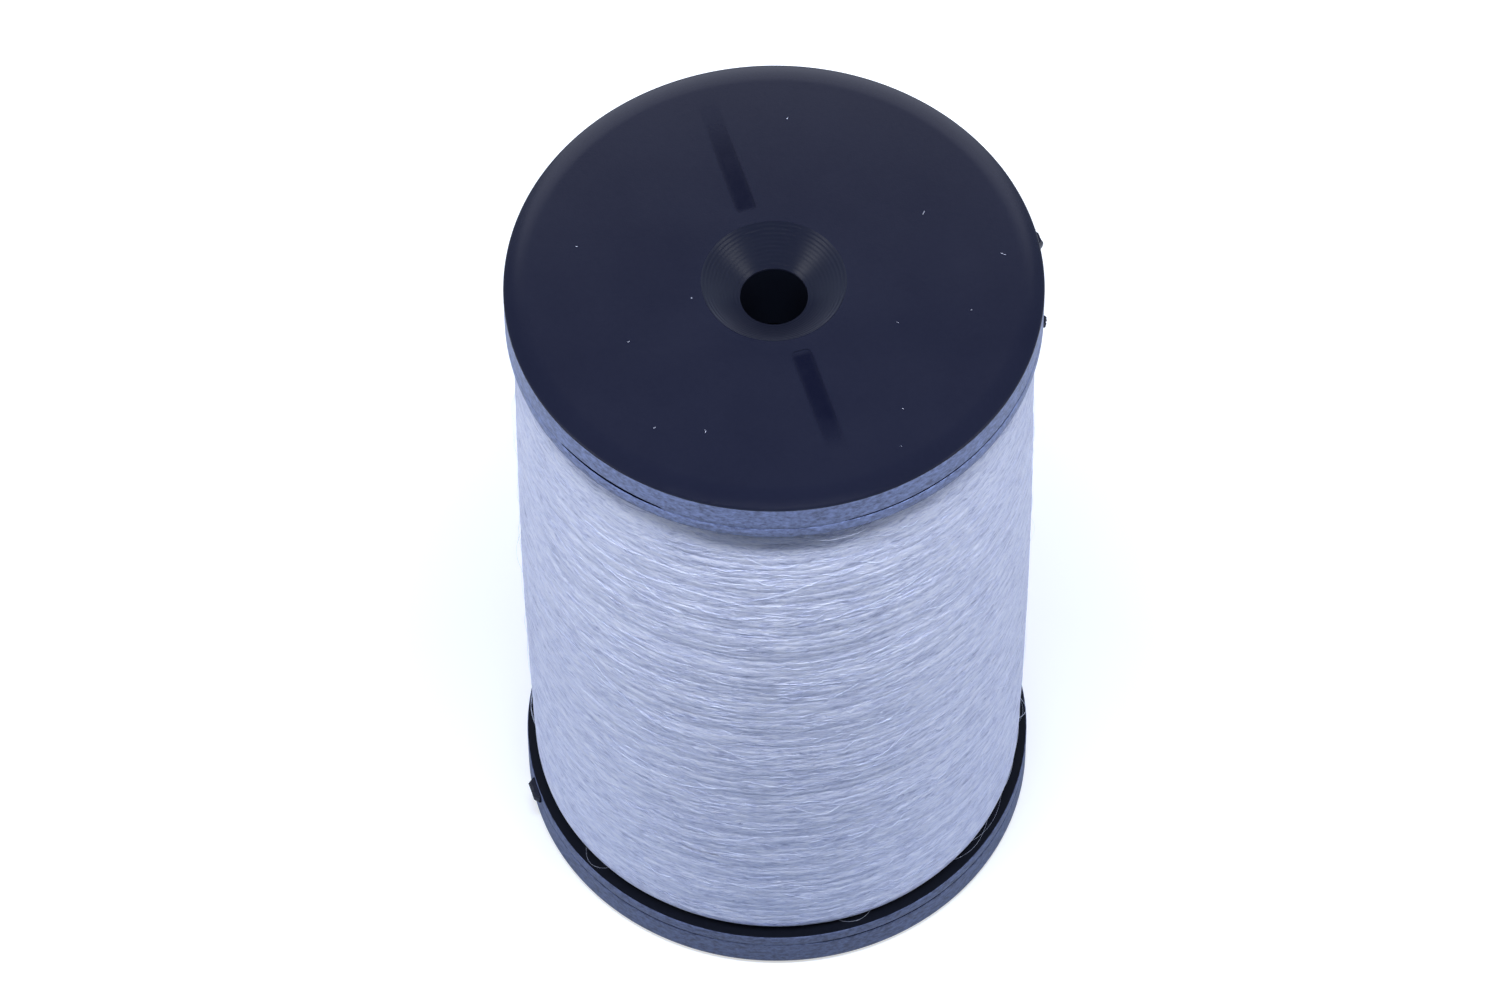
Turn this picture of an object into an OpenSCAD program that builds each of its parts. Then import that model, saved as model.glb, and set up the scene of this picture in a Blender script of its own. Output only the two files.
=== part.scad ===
// Thread spool, full of thread.
// A one-piece barrel carries a thin flange at each end. A thicker end cap is pressed
// into each end of the barrel and lies against the thin flange, so that the narrow slit
// between the two discs holds the loose end of the thread.
// +Z runs along the spool's axis. The origin is the centre of the lower end face.

/* [Spool] */
// Height over the two end faces
overall_h = 42; // [32:0.5:60]
// Diameter over the flanges
flange_d = 25.4; // [22:0.2:36]

/* [End caps] */
// Thickness of an end cap's disc
cap_t = 1.85; // [1.6:0.05:2.4]
// Width of the band round an end face that falls away to the rim
edge_fall_w = 1.1; // [0.5:0.05:2]
// How far that band falls
edge_fall = 0.26; // [0.1:0.02:0.4]
// Rounding between that band and the rim
cap_edge_r = 0.12; // [0.05:0.01:0.25]
// Bore for the spindle, through both end caps
spindle_bore_d = 3.2; // [2.4:0.1:3.6]
// Diameter of the conical seat at the end face
cone_mouth_d = 6.85; // [5:0.05:8]
// Depth of the conical seat
cone_depth = 1.3; // [0.6:0.05:1.5]
// Outer diameter of the boss round the spindle bore
boss_d = 5.2; // [4.8:0.1:6]
// Length of that boss below the disc
boss_h = 4; // [2:0.1:8]
// Wall of the plug that is pressed into the barrel
plug_wall = 0.9; // [0.6:0.05:1.2]
// Length of the plug
plug_h = 4.5; // [2.5:0.1:9]
// Lead-in chamfer at the end of the plug
plug_lead = 0.4; // [0.2:0.05:0.5]
// Interference of the plug in the barrel, on the radius
plug_press = 0.02; // [0:0.01:0.04]
// Height of the thread-holding slit at the rim
slit_w = 0.12; // [0.06:0.01:0.25]
// How far the slit runs in from the rim
slit_depth = 3.2; // [1.5:0.1:4]

/* [Driving grooves] */
// Width of the two grooves in an end face
groove_w = 0.9; // [0.5:0.05:1.5]
// Depth of the grooves
groove_depth = 0.1; // [0.05:0.01:0.4]
// Distance from the conical seat to the start of a groove
groove_start = 0.7; // [0.3:0.05:1.5]
// Distance from the rim to the end of a groove
groove_end = 2.3; // [1.2:0.1:4]
// Direction of the grooves on the upper end face, in degrees from +X
groove_angle = 107; // [0:1:180]
// Turn of the lower end cap against the upper one, in degrees
lower_cap_turn = 66; // [0:1:180]

/* [Barrel] */
// Outer diameter of the barrel's tube
barrel_d = 12; // [10.6:0.1:14]
// Wall of the barrel's tube
barrel_wall = 1.5; // [0.8:0.1:2]
// Thickness of each thin flange
flange_t = 0.7; // [0.5:0.05:1]
// Rounding between the tube and a thin flange
barrel_corner_r = 0.5; // [0.2:0.05:0.8]
// Chamfer on the edges of a thin flange
flange_edge = 0.1; // [0.04:0.01:0.15]

/* [Gate marks] */
// Direction of the end cap's gate mark, in degrees from +X
cap_gate_angle = 13; // [0:1:359]
// Length of the end cap's gate mark along the rim
cap_gate_w = 0.8; // [0.4:0.05:1.5]
// Height of the end cap's gate mark above its lower edge
cap_gate_low = 0.35; // [0:0.05:0.8]
// How far the end cap's gate mark stands out
cap_gate_out = 0.28; // [0.1:0.01:0.5]
// Direction of the upper thin flange's gate mark
upper_gate_angle = 356; // [0:1:359]
// Direction of the lower thin flange's gate mark
lower_gate_angle = 197; // [0:1:359]
// Length of the upper thin flange's gate mark along the rim
upper_gate_w = 0.4; // [0.2:0.05:1]
// How far the upper thin flange's gate mark stands out
upper_gate_out = 0.14; // [0.05:0.01:0.4]
// Length of the lower thin flange's gate mark along the rim
lower_gate_w = 1.4; // [0.8:0.05:2]
// How far the lower thin flange's gate mark stands out
lower_gate_out = 0.35; // [0.1:0.01:0.5]

/* [Thread] */
// How far the thread's surface lies inside the flanges' edge
winding_inset = 0.3; // [0.2:0.05:3]
// Height of the rounded shoulder at each end of the winding
shoulder_h = 1.2; // [0.5:0.1:2.5]
// How far a shoulder falls away at the flange
shoulder_drop = 0.5; // [0.2:0.05:1]
// Width of the strand of the outer layer, along the spool
strand_w = 0.95; // [0.6:0.05:1.4]
// Thickness of that strand
strand_t = 0.6; // [0.4:0.05:0.8]
// Least distance between two of its loops
loop_gap = 0.45; // [0.42:0.01:1]
// Radius of the bend where the strand turns up to a flange
strand_bend_r = 0.9; // [0.8:0.05:1.5]
// How deep the strand beds into the layers under it
strand_bed = 0.08; // [0.02:0.01:0.15]
// Direction of the strand's two ends, in degrees from +X
strand_angle = 96; // [0:1:359]
// Width of the loose end that is held in the slit
tail_w = 0.4; // [0.2:0.05:0.8]
// Direction of the loose end, in degrees from +X
tail_angle = 76; // [0:1:359]
// How far the loose end reaches into the slit
tail_tuck = 1.4; // [0.6:0.1:3]

/* [Hidden] */

BLACK = [0.13, 0.14, 0.2];
SATIN_BLACK = [0.22, 0.24, 0.31];
WHITE = [0.86, 0.88, 0.96];
THREAD = [0.92, 0.93, 0.98];

$fn = 96;

// Sizes shared by pieces that meet
flange_r = flange_d / 2;
barrel_r = barrel_d / 2;
bore_r = barrel_r - barrel_wall;
cone_r = cone_mouth_d / 2;
spindle_r = spindle_bore_d / 2;
boss_r = boss_d / 2;
plug_r = bore_r + plug_press;
flange_z = cap_t + flange_t;
winding_h = overall_h - 2 * flange_z;
winding_r = flange_r - winding_inset;

// Points along the roundings of an end cap's edge, the barrel's inner corners and the shoulders
EDGE_STEPS = 3;
CORNER_STEPS = 4;
SHOULDER_STEPS = 5;

// Band that falls away from an end face to its edge, a parabola that meets the edge's rounding
FALL_STEPS = 6;
fall_slope = atan(2 * edge_fall / edge_fall_w);
fall_end = flange_r - cap_edge_r * (1 - sin(fall_slope));
edge_centre = [flange_r - cap_edge_r, cap_t - edge_fall - cap_edge_r * cos(fall_slope)];

// Groove along an end face
groove_in = cone_r + groove_start;
groove_out = flange_r - groove_end;

// How deep a gate mark is rooted in its rim, and the share of its length that leans back to it
gate_root = 0.2;
cap_gate_lean = 0.7;
upper_gate_lean = 0.3;
lower_gate_lean = 0.15;

// Outer layer of thread, laid as one strand
strand_r = winding_r - strand_t / 2;
RINGS_PER_LOOP = 24;
SIDES = 6;
BEND_STEPS = 5;
STRAIGHT_STEPS = 2;
// part of a loop, ahead of each ring, in which the next loop is looked for
NEXT_LOOP = [0.6, 1.4];
// the flat sides of a strand lie nearer to the axis half way between two rings
ring_sag = strand_r * (1 - cos(180 / RINGS_PER_LOOP));
core_r = winding_r - strand_t - ring_sag + strand_bed;
helix_h = winding_h - 2 * (strand_w + strand_bend_r);
loops = floor(helix_h / (strand_w + loop_gap));
loop_len = 360 * strand_r * PI / 180;

// Loose end in the slit, which fills a share of the slit's height
TAIL_FILL = 0.8;
TAIL_BEND_STEPS = 4;
tail_t = slit_w * TAIL_FILL;
tail_clear = 0.02;
tail_bend_r = 0.25;
// it comes out of the winding below the shoulder, rises on to it, and leans out under the flange
tail_below = 0.6;
tail_start_h = shoulder_h + tail_below;
tail_rise_h = 0.5;
tail_lean_h = 0.6;

// Arc of points round a centre [r, z], from angle a to angle b, in n steps
function arc(c, r, a, b, n) = [for (i = [0:n]) let (t = a + (b - a) * i / n) c + r * [cos(t), sin(t)]];

// Profile of an end cap, [radius, height], with height 0 on the thin flange
function cap_profile() = concat(
    [
        [spindle_r, -boss_h],
        [boss_r, -boss_h],
        [boss_r, 0],
        [plug_r - plug_wall, 0],
        [plug_r - plug_wall, -plug_h],
        [plug_r - plug_lead, -plug_h],
        [plug_r, plug_lead - plug_h],
        [plug_r, 0],
        [flange_r - slit_depth, 0],
        [flange_r - slit_depth, slit_w],
        [flange_r, slit_w],
    ],
    arc(edge_centre, cap_edge_r, 0, 90 - fall_slope, EDGE_STEPS),
    [
        for (i = [FALL_STEPS - 1:-1:0])
            let (part = i / FALL_STEPS)
            [fall_end - edge_fall_w * (1 - part), cap_t - edge_fall * pow(part, 2)]
    ],
    [
        [cone_r, cap_t],
        [spindle_r, cap_t - cone_depth],
    ]
);

// Inner corner of the barrel at the lower flange, shared by the barrel and the thread
function barrel_corner() = arc(
    [barrel_r + barrel_corner_r, flange_z + barrel_corner_r], barrel_corner_r, 270, 180, CORNER_STEPS
);

// The same points at the upper end of the spool, in the order that closes an outline
function turned_over(points) = [for (i = [len(points) - 1:-1:0]) [points[i].x, overall_h - points[i].y]];

// Rim of the lower thin flange, from its outer face to its inner face
function flange_rim() = [
    [flange_r - flange_edge, cap_t],
    [flange_r, cap_t + flange_edge],
    [flange_r, flange_z - flange_edge],
    [flange_r - flange_edge, flange_z],
];

// Shoulder of the winding's core at the lower flange
function core_shoulder() = [
    for (i = [0:SHOULDER_STEPS])
        let (t = 90 * i / SHOULDER_STEPS)
        [core_r - shoulder_drop * (1 - sin(t)), flange_z + shoulder_h * (1 - cos(t))]
];

// Gate mark: a broken-off stub on a rim, seen along the axis. It leans back to the rim over
// the last part of its length.
module gate_mark(w, out, lean) {
    rim = sqrt(pow(flange_r, 2) - pow(w / 2, 2));
    polygon([
        [rim - gate_root, -w / 2],
        [flange_r + out, -w / 2],
        [flange_r + out, w / 2 - lean * w],
        [rim, w / 2],
        [rim - gate_root, w / 2],
    ]);
}

// Cutter for one groove of an end face
module groove() {
    translate([groove_in, -groove_w / 2, cap_t - groove_depth])
        cube([groove_out - groove_in, groove_w, 2 * groove_depth]);
}

// End cap with its conical seat, spindle bore and plug
module end_cap() {
    gate_z = slit_w + cap_gate_low;
    gate_t = edge_centre.y - gate_z;
    difference() {
        rotate_extrude()
            polygon(cap_profile());
        for (turn = [0, 180])
            rotate([0, 0, groove_angle + turn])
                groove();
    }
    rotate([0, 0, cap_gate_angle])
        translate([0, 0, gate_z])
            linear_extrude(gate_t)
                gate_mark(cap_gate_w, cap_gate_out, cap_gate_lean);
}

module upper_cap() {
    color(BLACK)
        translate([0, 0, overall_h - cap_t])
            end_cap();
}

module lower_cap() {
    color(BLACK)
        translate([0, 0, cap_t])
            rotate([180, 0, lower_cap_turn])
                end_cap();
}

// Barrel: a tube with a thin flange at each end
module barrel() {
    outer = concat(flange_rim(), barrel_corner());
    mark_t = flange_t - 2 * flange_edge;
    color(SATIN_BLACK) {
        rotate_extrude()
            polygon(concat(
                [[bore_r, cap_t]],
                outer,
                turned_over(outer),
                [[bore_r, overall_h - cap_t]]
            ));
        translate([0, 0, cap_t + flange_edge])
            rotate([0, 0, lower_gate_angle])
                linear_extrude(mark_t)
                    gate_mark(lower_gate_w, lower_gate_out, lower_gate_lean);
        translate([0, 0, overall_h - flange_z + flange_edge])
            rotate([0, 0, upper_gate_angle])
                linear_extrude(mark_t)
                    gate_mark(upper_gate_w, upper_gate_out, upper_gate_lean);
    }
}

// All the layers of thread under the outer one
module winding_core() {
    corner = barrel_corner();
    inner = [for (i = [len(corner) - 1:-1:0]) corner[i]];
    half = concat(inner, core_shoulder());
    color(WHITE)
        rotate_extrude()
            polygon(concat(half, turned_over(half)));
}

// Path of the outer strand on the unrolled winding, [length round it, height above the flange]:
// straight up from the lower flange, round a bend, along the loops, and straight up again
helix_slope = atan(helix_h / (loops * loop_len));
strand_start = concat(
    [for (i = [0:STRAIGHT_STEPS]) [0, strand_w * i / STRAIGHT_STEPS]],
    [
        for (i = [1:BEND_STEPS])
            let (t = (90 - helix_slope) * i / BEND_STEPS)
            [strand_bend_r * (1 - cos(t)), strand_w + strand_bend_r * sin(t)]
    ]
);
start_at = strand_start[len(strand_start) - 1];
run_h = winding_h - 2 * start_at.y;
run_len = run_h / tan(helix_slope);
run_rings = round(run_len / loop_len * RINGS_PER_LOOP);
strand_end = [
    for (i = [len(strand_start) - 1:-1:0])
        [2 * start_at.x + run_len - strand_start[i].x, winding_h - strand_start[i].y]
];
strand_path = concat(
    strand_start,
    [for (i = [1:run_rings - 1]) start_at + [run_len, run_h] * i / run_rings],
    strand_end
);

// Direction of the unrolled path at point i
function path_dir(i) =
    let (
        a = strand_path[max(i - 1, 0)],
        b = strand_path[min(i + 1, len(strand_path) - 1)]
    )
    i <= STRAIGHT_STEPS || i >= len(strand_path) - 1 - STRAIGHT_STEPS ? [0, 1] : (b - a) / norm(b - a);

// Flat six-sided section of thread, [across the path, out from the axis]
function thread_section(w, t) = [
    for (k = [0:SIDES - 1])
        let (a = 360 * k / SIDES)
        [w / 2 * cos(a), t / 2 * sin(a) / sin(60)]
];
strand_section = thread_section(strand_w, strand_t);

// One ring of the strand's surface, in space
function strand_ring(i) =
    let (p = strand_path[i], d = path_dir(i))
    [
        for (s = strand_section)
            let (
                along = p.x - s.x * d.y,
                z = flange_z + p.y + s.x * d.x,
                turn = strand_angle + along / loop_len * 360,
                r = strand_r + s.y
            )
            [r * cos(turn), r * sin(turn), z]
    ];

// Closed tube through a list of rings with n points each
module tube(rings, n) {
    last = len(rings) - 1;
    polyhedron(
        points = [for (ring = rings) each ring],
        faces = concat(
            [for (k = [1:n - 2]) [0, k, k + 1]],
            [for (k = [1:n - 2]) [last * n, last * n + k + 1, last * n + k]],
            [
                for (i = [0:last - 1], k = [0:n - 1])
                    let (a = i * n + k, b = i * n + (k + 1) % n)
                    each [[a, a + n, b], [b, a + n, b + n]]
            ]
        )
    );
}

// Outer layer of thread: one unbroken strand that beds into the core
module winding_outer() {
    rings = [for (i = [0:len(strand_path) - 1]) strand_ring(i)];
    near = [floor(RINGS_PER_LOOP * NEXT_LOOP[0]), ceil(RINGS_PER_LOOP * NEXT_LOOP[1])];
    gaps = [
        for (i = [0:len(rings) - 1 - near[0]], j = [i + near[0]:min(i + near[1], len(rings) - 1)])
            min([for (p = rings[i], q = rings[j]) norm(p - q)])
    ];
    echo(str("Least gap between loops of the outer strand, mm: ", min(gaps)));
    color(THREAD)
        tube(rings, SIDES);
}

// Route of the loose end, [radius, height]: up the winding, over the thin flange's rim and
// into the slit. Its heights are counted from the slit's lower face.
tail_r = flange_r + tail_clear + tail_t / 2;
tail_in_z = tail_t / 2 + (slit_w - tail_t) / 2;
tail_route = concat(
    [
        [winding_r - tail_t, -flange_t - tail_start_h],
        [winding_r + tail_t / 2, -flange_t - tail_start_h + tail_rise_h],
        [winding_r + tail_t, -flange_t - tail_lean_h],
        [tail_r, -flange_t],
    ],
    arc([tail_r - tail_bend_r, tail_in_z - tail_bend_r], tail_bend_r, 0, 90, TAIL_BEND_STEPS),
    [[flange_r - tail_tuck, tail_in_z]]
);

// Direction of that route at point i
function tail_dir(i) =
    let (
        a = tail_route[max(i - 1, 0)],
        b = tail_route[min(i + 1, len(tail_route) - 1)]
    )
    (b - a) / norm(b - a);

// Loose end of the thread, held between the upper end cap and its thin flange
module thread_tail() {
    rings = [
        for (i = [0:len(tail_route) - 1])
            let (p = tail_route[i], d = tail_dir(i))
            [
                for (s = thread_section(tail_w, tail_t))
                    [p.x + s.y * d.y, s.x, p.y - s.y * d.x]
            ]
    ];
    color(THREAD)
        translate([0, 0, overall_h - cap_t])
            rotate([0, 0, tail_angle])
                tube(rings, SIDES);
}

barrel();
upper_cap();
lower_cap();
winding_core();
winding_outer();
thread_tail();
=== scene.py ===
"""Dresses the thread spool: moulded end caps, barrel, wound thread, and the studio round them.

Lengths in the classes are in millimetres, and become metres where a mesh is made.
"""

import logging
import math
from dataclasses import dataclass, field, replace
from enum import Enum, IntEnum
from typing import Callable, Sequence, Union

import bmesh
import bpy
import numpy as np
from mathutils import Matrix, Vector


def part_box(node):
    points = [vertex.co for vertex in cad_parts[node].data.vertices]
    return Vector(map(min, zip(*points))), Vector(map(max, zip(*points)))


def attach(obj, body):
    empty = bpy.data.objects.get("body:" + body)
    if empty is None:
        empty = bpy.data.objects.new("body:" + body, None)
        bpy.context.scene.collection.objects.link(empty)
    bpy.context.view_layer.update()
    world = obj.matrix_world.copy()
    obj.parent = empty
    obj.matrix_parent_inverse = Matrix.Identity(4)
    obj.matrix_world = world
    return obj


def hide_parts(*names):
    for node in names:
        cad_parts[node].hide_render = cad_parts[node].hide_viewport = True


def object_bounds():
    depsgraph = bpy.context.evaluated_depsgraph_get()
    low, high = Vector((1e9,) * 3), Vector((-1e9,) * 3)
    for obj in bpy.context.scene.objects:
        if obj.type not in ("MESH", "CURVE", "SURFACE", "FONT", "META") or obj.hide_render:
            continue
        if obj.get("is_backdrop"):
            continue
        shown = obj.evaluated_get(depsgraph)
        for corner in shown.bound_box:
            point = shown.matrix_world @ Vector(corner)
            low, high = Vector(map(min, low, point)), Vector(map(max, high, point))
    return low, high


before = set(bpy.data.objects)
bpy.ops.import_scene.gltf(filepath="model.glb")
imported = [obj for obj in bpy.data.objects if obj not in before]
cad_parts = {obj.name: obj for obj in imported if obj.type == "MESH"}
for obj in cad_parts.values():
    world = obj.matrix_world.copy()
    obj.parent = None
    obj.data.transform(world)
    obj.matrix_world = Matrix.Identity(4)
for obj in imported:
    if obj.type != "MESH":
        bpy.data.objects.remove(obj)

MM = 0.001
BODY = "root"
Colour = tuple[float, float, float]
Value = Union["Term", float, Sequence[float]]
Inputs = dict[Union[str, int], Value]
RAYS = ("Camera", "Glossy", "Transmission")
Materials = Sequence[bpy.types.Material]
# Angles in degrees past which an edge is sharp.
SMOOTH, MOULDED = 180.0, 32.0

log = logging.getLogger("spool")


# ---- shader tools


@dataclass(frozen=True, eq=False)
class Term:
    kit: "NodeKit"
    socket: bpy.types.NodeSocket

    def _maths(self, operation: str, first: Value, second: Value) -> "Term":
        """Adds one Math node and returns its result."""
        return self.kit.node("ShaderNodeMath", {"operation": operation}, {0: first, 1: second})

    def __add__(self, other: Value) -> "Term":
        """self + other."""
        return self._maths("ADD", self, other)

    def __sub__(self, other: Value) -> "Term":
        """self - other."""
        return self._maths("SUBTRACT", self, other)

    def __rsub__(self, other: Value) -> "Term":
        """other - self."""
        return self._maths("SUBTRACT", other, self)

    def __mul__(self, other: Value) -> "Term":
        """self * other."""
        return self._maths("MULTIPLY", self, other)

    def __lt__(self, other: Value) -> "Term":
        """1 where self is less than other, else 0."""
        return self._maths("LESS_THAN", self, other)

    def __gt__(self, other: Value) -> "Term":
        """1 where self is greater than other, else 0."""
        return self._maths("GREATER_THAN", self, other)

    def other(self, name: str) -> "Term":
        """Another output of the same node."""
        return Term(self.kit, self.socket.node.outputs[name])

    def magnitude(self) -> "Term":
        """The value without its sign."""
        return self._maths("ABSOLUTE", self, 0)

    def ridge(self, half_width: float) -> "Term":
        """1 where the value is a half, falling to 0 at half_width on either side of it."""
        return self.kit.node(
            "ShaderNodeMapRange",
            {"clamp": True},
            {"Value": (self - 0.5).magnitude(), "From Max": half_width, "To Min": 1.0, "To Max": 0.0},
        )

    __radd__ = __add__
    __rmul__ = __mul__


class NodeKit:
    """Builds the node tree of a material or a world."""

    def __init__(self, owner: Union[bpy.types.Material, bpy.types.World]) -> None:
        """Empties the owner's node tree.

        Args:
            owner: the material or world that is dressed.
        """
        owner.use_nodes = True
        self.owner = owner
        self.tree = owner.node_tree
        self.tree.nodes.clear()

    def node(
        self,
        kind: str,
        settings: dict | None = None,
        inputs: Inputs | None = None,
        output: Union[str, int] = 0,
    ) -> Term:
        """Adds a node.

        Args:
            kind: the node's type.
            settings: its properties, set first; "stops" are the stops of a ramp.
            inputs: values or links of its sockets.
            output: the output that is wanted.

        Returns:
            The wanted output.
        """
        made = self.tree.nodes.new(kind)
        for key, value in (settings or {}).items():
            if key == "stops":
                self._set_stops(made.color_ramp, value)
            else:
                setattr(made, key, value)
        for key, value in (inputs or {}).items():
            self.feed(made.inputs[key], value)
        return Term(self, made.outputs[output])

    def end(self, kind: str, shader: Term) -> None:
        """Adds the output node, which shows the shader."""
        self.feed(self.tree.nodes.new(kind).inputs["Surface"], shader)

    def feed(self, socket: bpy.types.NodeSocket, value: Value) -> None:
        """Links a term to a socket, or sets the socket's own value."""
        if isinstance(value, Term):
            self.tree.links.new(value.socket, socket)
        elif isinstance(value, (int, float)):
            socket.default_value = value
        else:
            wanted = len(socket.default_value)
            socket.default_value = (*value, 1.0)[:wanted]

    @staticmethod
    def _set_stops(ramp: bpy.types.ColorRamp, stops: Sequence[tuple[float, Colour]]) -> None:
        """Gives a colour ramp its stops."""
        while len(ramp.elements) < len(stops):
            ramp.elements.new(1.0)
        for element, (place, colour) in zip(ramp.elements, stops):
            element.position = place
            element.color = (*colour, 1.0)

    def ray(self, kind: str) -> Term:
        """1 for rays of a kind, such as "Camera", else 0."""
        return self.node("ShaderNodeLightPath", output=f"Is {kind} Ray")

    def place(self, stretch: Sequence[float] = (1, 1, 1), shift: Sequence[float] = (0, 0, 0)) -> Term:
        """Object coordinates in metres, each axis multiplied by its stretch and then shifted."""
        coords = self.node("ShaderNodeTexCoord", output="Object")
        settings = {"operation": "MULTIPLY_ADD"}
        return self.node("ShaderNodeVectorMath", settings, {0: coords, 1: stretch, 2: shift})

    def moved(self, coords: Term, shift: Term, way: Sequence[float]) -> Term:
        """Coordinates shifted along a direction by a number."""
        settings = {"operation": "MULTIPLY_ADD"}
        return self.node("ShaderNodeVectorMath", settings, {0: shift, 1: way, 2: coords})

    def along(self, coords: Term, degrees: float) -> Term:
        """Distance from the axis in a direction given in degrees from +X, in metres."""
        turn = math.radians(degrees)
        way = (math.cos(turn), math.sin(turn), 0)
        settings = {"operation": "DOT_PRODUCT"}
        return self.node("ShaderNodeVectorMath", settings, {0: coords, 1: way}, "Value")

    def step(self, value: Term, start: float, end: float) -> Term:
        """A smooth step from 0 at start to 1 at end, both in millimetres."""
        return self.node(
            "ShaderNodeMapRange",
            {"interpolation_type": "SMOOTHSTEP"},
            {"Value": value, "From Min": start * MM, "From Max": end * MM},
        )

    def noise(self, coords: Term, size: float, detail: float = 2.0, rough: float = 0.5) -> Term:
        """Noise from 0 to 1, with blotches of about the given size in millimetres."""
        return self.node(
            "ShaderNodeTexNoise",
            {"noise_dimensions": "3D"},
            {"Vector": coords, "Scale": 1 / (size * MM), "Detail": detail, "Roughness": rough},
        )

    def spots(self, coords: Term, spacing: float, share: float, size: float) -> Term:
        """Sparse round spots: 1 inside a spot, 0 elsewhere.

        Args:
            coords: where the pattern lies.
            spacing: size of the cells that may hold a spot, in millimetres.
            share: the share of the cells that hold one.
            size: a spot's radius, in millimetres.

        Returns:
            The mask.
        """
        cells = {"Vector": coords, "Scale": 1 / (spacing * MM)}
        distance = self.node("ShaderNodeTexVoronoi", {}, cells)
        chance = self.node("ShaderNodeSeparateColor", {}, {0: distance.other("Color")})
        return (distance < size / spacing) * (chance < share)

    def mix(self, share: Value, low: Value, high: Value) -> Term:
        """A colour between low and high."""
        inputs = {"Factor": share, 6: low, 7: high}
        return self.node("ShaderNodeMix", {"data_type": "RGBA"}, inputs, output=2)

    def ramp(self, share: Value, stops: Sequence[tuple[float, Colour]]) -> Term:
        """A colour from a ramp."""
        return self.node("ShaderNodeValToRGB", {"stops": stops}, {0: share})

    def bump(self, height: Term, depth: float, under: Term | None = None) -> Term:
        """A bumped normal.

        Args:
            height: from 0 to 1.
            depth: what 1 stands for, in millimetres.
            under: a normal to add it to.

        Returns:
            The normal.
        """
        inputs: Inputs = {"Height": height, "Distance": depth * MM, "Strength": 1.0}
        if under is not None:
            inputs["Normal"] = under
        return self.node("ShaderNodeBump", {}, inputs)

    def finish(self, inputs: Inputs) -> bpy.types.Material:
        """Ends the tree in one Principled shader and returns the material."""
        shader = self.node("ShaderNodeBsdfPrincipled", {}, inputs)
        self.end("ShaderNodeOutputMaterial", shader)
        return self.owner


# ---- finishes


@dataclass(frozen=True)
class GrooveShade:
    """Where an end face's two grooves lie, in millimetres and degrees."""

    angle: float
    start: float
    end: float
    fade: float
    half_width: float
    soft: float = 0.19
    mottle_size: float = 0.9
    mottle: float = 0.9
    least: float = 0.55

    def mask(self, kit: NodeKit) -> Term:
        """1 inside the grooves, softly 0 outside."""
        coords = kit.place()
        reach = kit.along(coords, self.angle).magnitude()
        side = kit.along(coords, self.angle + 90).magnitude()
        ends = kit.step(reach, self.start, self.start + self.soft * 2)
        ends = ends * (1 - kit.step(reach, self.end - self.fade, self.end))
        inside = 1 - kit.step(side, self.half_width - self.soft, self.half_width + self.soft)
        return ends * inside * (kit.noise(coords, self.mottle_size, 3.0) * self.mottle + self.least)


@dataclass(frozen=True)
class MouldedPlastic:
    """Dark moulded plastic with a fine grain from its mould."""

    name: str
    colour: Colour
    cloud_colour: Colour
    roughness: float
    specular: float = 0.5
    grain: float = 0.09
    grain_depth: float = 0.004
    cloud: float = 5.0
    smear: Sequence[float] = (1, 1, 1)
    fleck: float = 0.27
    fleck_share: float = 0.4
    contrast: float = 1.0
    dust: float = 0.0
    dust_colour: Colour = (0.20, 0.22, 0.30)
    dust_spacing: float = 1.3
    dust_size: float = 0.035
    uneven: float = 0.12
    grooves: GrooveShade | None = None
    groove_colour: Colour = (0.0022, 0.0030, 0.0115)
    groove_smoothing: float = 0.05

    def build(self) -> bpy.types.Material:
        """Makes the material."""
        kit = NodeKit(bpy.data.materials.new(self.name))
        smeared = kit.place(self.smear)
        cloud = kit.noise(smeared, self.cloud, 3.0)
        fleck = kit.noise(smeared, self.fleck, 2.0, 0.7)
        level = cloud * (1 - self.fleck_share) + fleck * self.fleck_share
        reach = 0.5 / self.contrast
        colour = kit.ramp(level, [(0.5 - reach, self.colour), (0.5 + reach, self.cloud_colour)])
        if self.dust > 0:
            speck = kit.spots(kit.place(), self.dust_spacing, self.dust, self.dust_size)
            colour = kit.mix(speck, colour, self.dust_colour)
        rough = cloud * self.uneven + (self.roughness - self.uneven / 2)
        if self.grooves:
            groove = self.grooves.mask(kit)
            colour = kit.mix(groove, colour, self.groove_colour)
            rough = rough - groove * self.groove_smoothing
        grain = kit.noise(smeared, self.grain, 2.0, 0.6)
        normal = kit.bump(grain, self.grain_depth)
        return kit.finish(
            {
                "Base Color": colour,
                "Roughness": rough,
                "Specular IOR Level": self.specular,
                "Normal": normal,
            }
        )


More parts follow.
